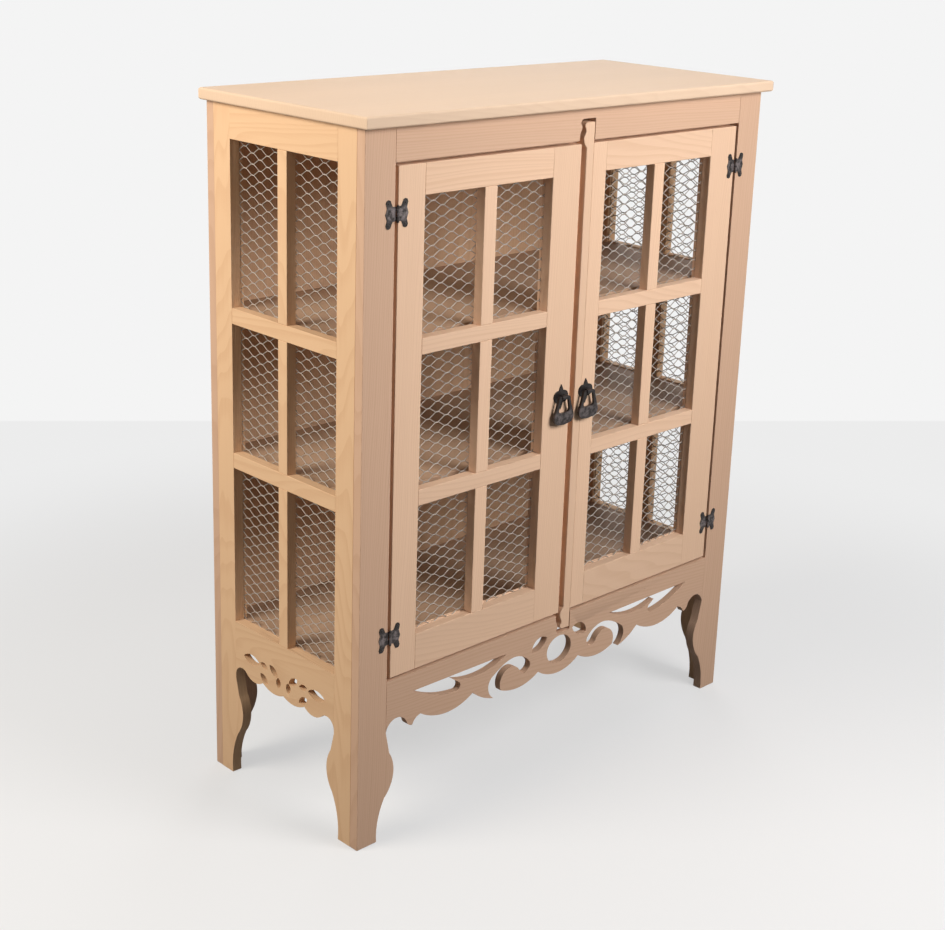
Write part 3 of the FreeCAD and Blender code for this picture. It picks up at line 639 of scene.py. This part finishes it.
leafFace = railLow.y - nails["leafThick"]
plateFace = railLow.y - nails["plateThick"]
for side, sign in (("left", -1), ("right", 1)):
    pinAcross, pinFront, _ = jointAt[side + "_door_swing"]
    for leaf, body, away in (("Frame", "carcass", sign), ("Door", side + "_door", -sign)):
        places = [(pinAcross + away * out, leafFace, middle + up)
                  for middle in hingeHeights for out, up in nails["hingeSpots"]]
        studSet(side + leaf + "HingeNails", body, nailHead(nails["hingeRadius"]), places)
    places = [(pinAcross, pinFront, middle + end * nails["pinEnd"])
              for middle in hingeHeights for end in (-1, 1)]
    studSet(side + "HingePinBalls", "carcass", pinBall(nails["ballRadius"]), places)
    rodAcross = jointAt[side + "_bail_swing"][0]
    places = [(rodAcross, plateFace, rodHeight + up) for up in nails["plateSpots"]]
    studSet(side + "PullNails", side + "_door", nailHead(nails["plateRadius"]), places)
print("nails and pin balls set")


# the floor that the camera sees is a plain tone, and near the feet it keeps the lit floor's shadow
studio = {
    "floorTone": (0.84, 0.84, 0.84, 1.0),
    "farTone": (0.905, 0.905, 0.905, 1.0),     # the paler wall behind, and the sky that the camera sees
    "farTurn": 38.337,                         # degrees: its edge looks level to the camera
    "farFrom": 1.935,                          # metres from the middle
    "farBlend": 0.01,                          # the edge's softness to each side
    "litTone": (0.75, 0.75, 0.76, 1.0),        # the lit floor, whose shadow shows through
    "bounceTone": (0.10, 0.10, 0.10, 1.0),     # what the floor sends back up
    "floorRoughness": 0.9,
    "floorGloss": 0.1,
    "shadeReach": (0.9, 1.9),                  # from all of the shadow to none of it
    "shadeShow": 0.38,
    "skyTone": (1.0, 1.0, 1.0, 1.0),
    "skyStrength": 0.125,
    "floorHalf": 30.0,
    "lamps": {
        "leftLamp": {"place": (-2.3, 0.5, 2.0), "size": 1.4, "power": 60.0, "colour": (1.0, 0.93, 0.82)},
        "frontLamp": {"place": (0.45, -1.95, 1.8), "size": 1.2, "power": 47.0, "colour": (1.0, 0.98, 0.96)},
        "overLamp": {"place": (0.3, 0.1, 3.6), "size": 1.8, "power": 18.0, "colour": (1.0, 1.0, 1.0)},
        "rearLamp": {"place": (2.2, 2.1, 1.5), "size": 1.8, "power": 28.0, "colour": (1.0, 1.0, 1.0)},
    },
    "lampAim": (0.0, 0.0, 0.8),
}


# A floor point counts as behind when x sin(farTurn) + y cos(farTurn) is past farFrom.
def floorPaint():
    paint = Paint(bpy.data.materials.new("floorPaint"))
    x, y, _ = paint.axes(paint.place())
    turn = math.radians(studio["farTurn"])
    behind = x * math.sin(turn) + y * math.cos(turn)
    edge, soft = studio["farFrom"], studio["farBlend"]
    far = paint.between(behind, edge - soft, edge + soft)
    shown = paint.blend(far, studio["floorTone"], studio["farTone"])
    seen = paint.seen()
    lit = paint.add("ShaderNodeBsdfPrincipled", sockets={
        "Base Color": paint.blend(seen, studio["bounceTone"], studio["litTone"]),
        "Roughness": studio["floorRoughness"],
        "Specular IOR Level": studio["floorGloss"],
    })
    plain = paint.add("ShaderNodeEmission", sockets={"Color": shown})
    away = paint.between((x * x + y * y) ** 0.5, *studio["shadeReach"])
    amount = seen * (1.0 - (1.0 - away) * studio["shadeShow"])
    mixed = paint.add("ShaderNodeMixShader", sockets={0: amount, 1: lit, 2: plain})
    paint.add("ShaderNodeOutputMaterial", sockets={"Surface": mixed})
    return paint.owner


half = studio["floorHalf"]
corners = np.array([(-half, -half, 0), (half, -half, 0), (half, half, 0), (-half, half, 0)])
floor = bpy.data.objects.new("floor", surface("floor", corners, [np.array([[0, 1, 2, 3]])], floorPaint()))
scene.collection.objects.link(floor)

scene.world = bpy.data.worlds.new("studio")
sky = Paint(scene.world)
light = sky.add("ShaderNodeBackground", sockets={"Color": studio["skyTone"],
                                                 "Strength": studio["skyStrength"]})
shown = sky.add("ShaderNodeBackground", sockets={"Color": studio["farTone"]})
mixed = sky.add("ShaderNodeMixShader", sockets={0: sky.seen(), 1: light, 2: shown})
sky.add("ShaderNodeOutputWorld", sockets={"Surface": mixed})

for name, look in studio["lamps"].items():
    lampData = bpy.data.lights.new(name, "AREA")
    lampData.shape = "DISK"
    lampData.size = look["size"]
    lampData.energy = look["power"]
    lampData.color = look["colour"]
    lamp = bpy.data.objects.new(name, lampData)
    lamp.location = look["place"]
    towards = Vector(studio["lampAim"]) - lamp.location
    lamp.rotation_euler = towards.to_track_quat("-Z", "Y").to_euler()
    scene.collection.objects.link(lamp)
print("floor and lamps set")
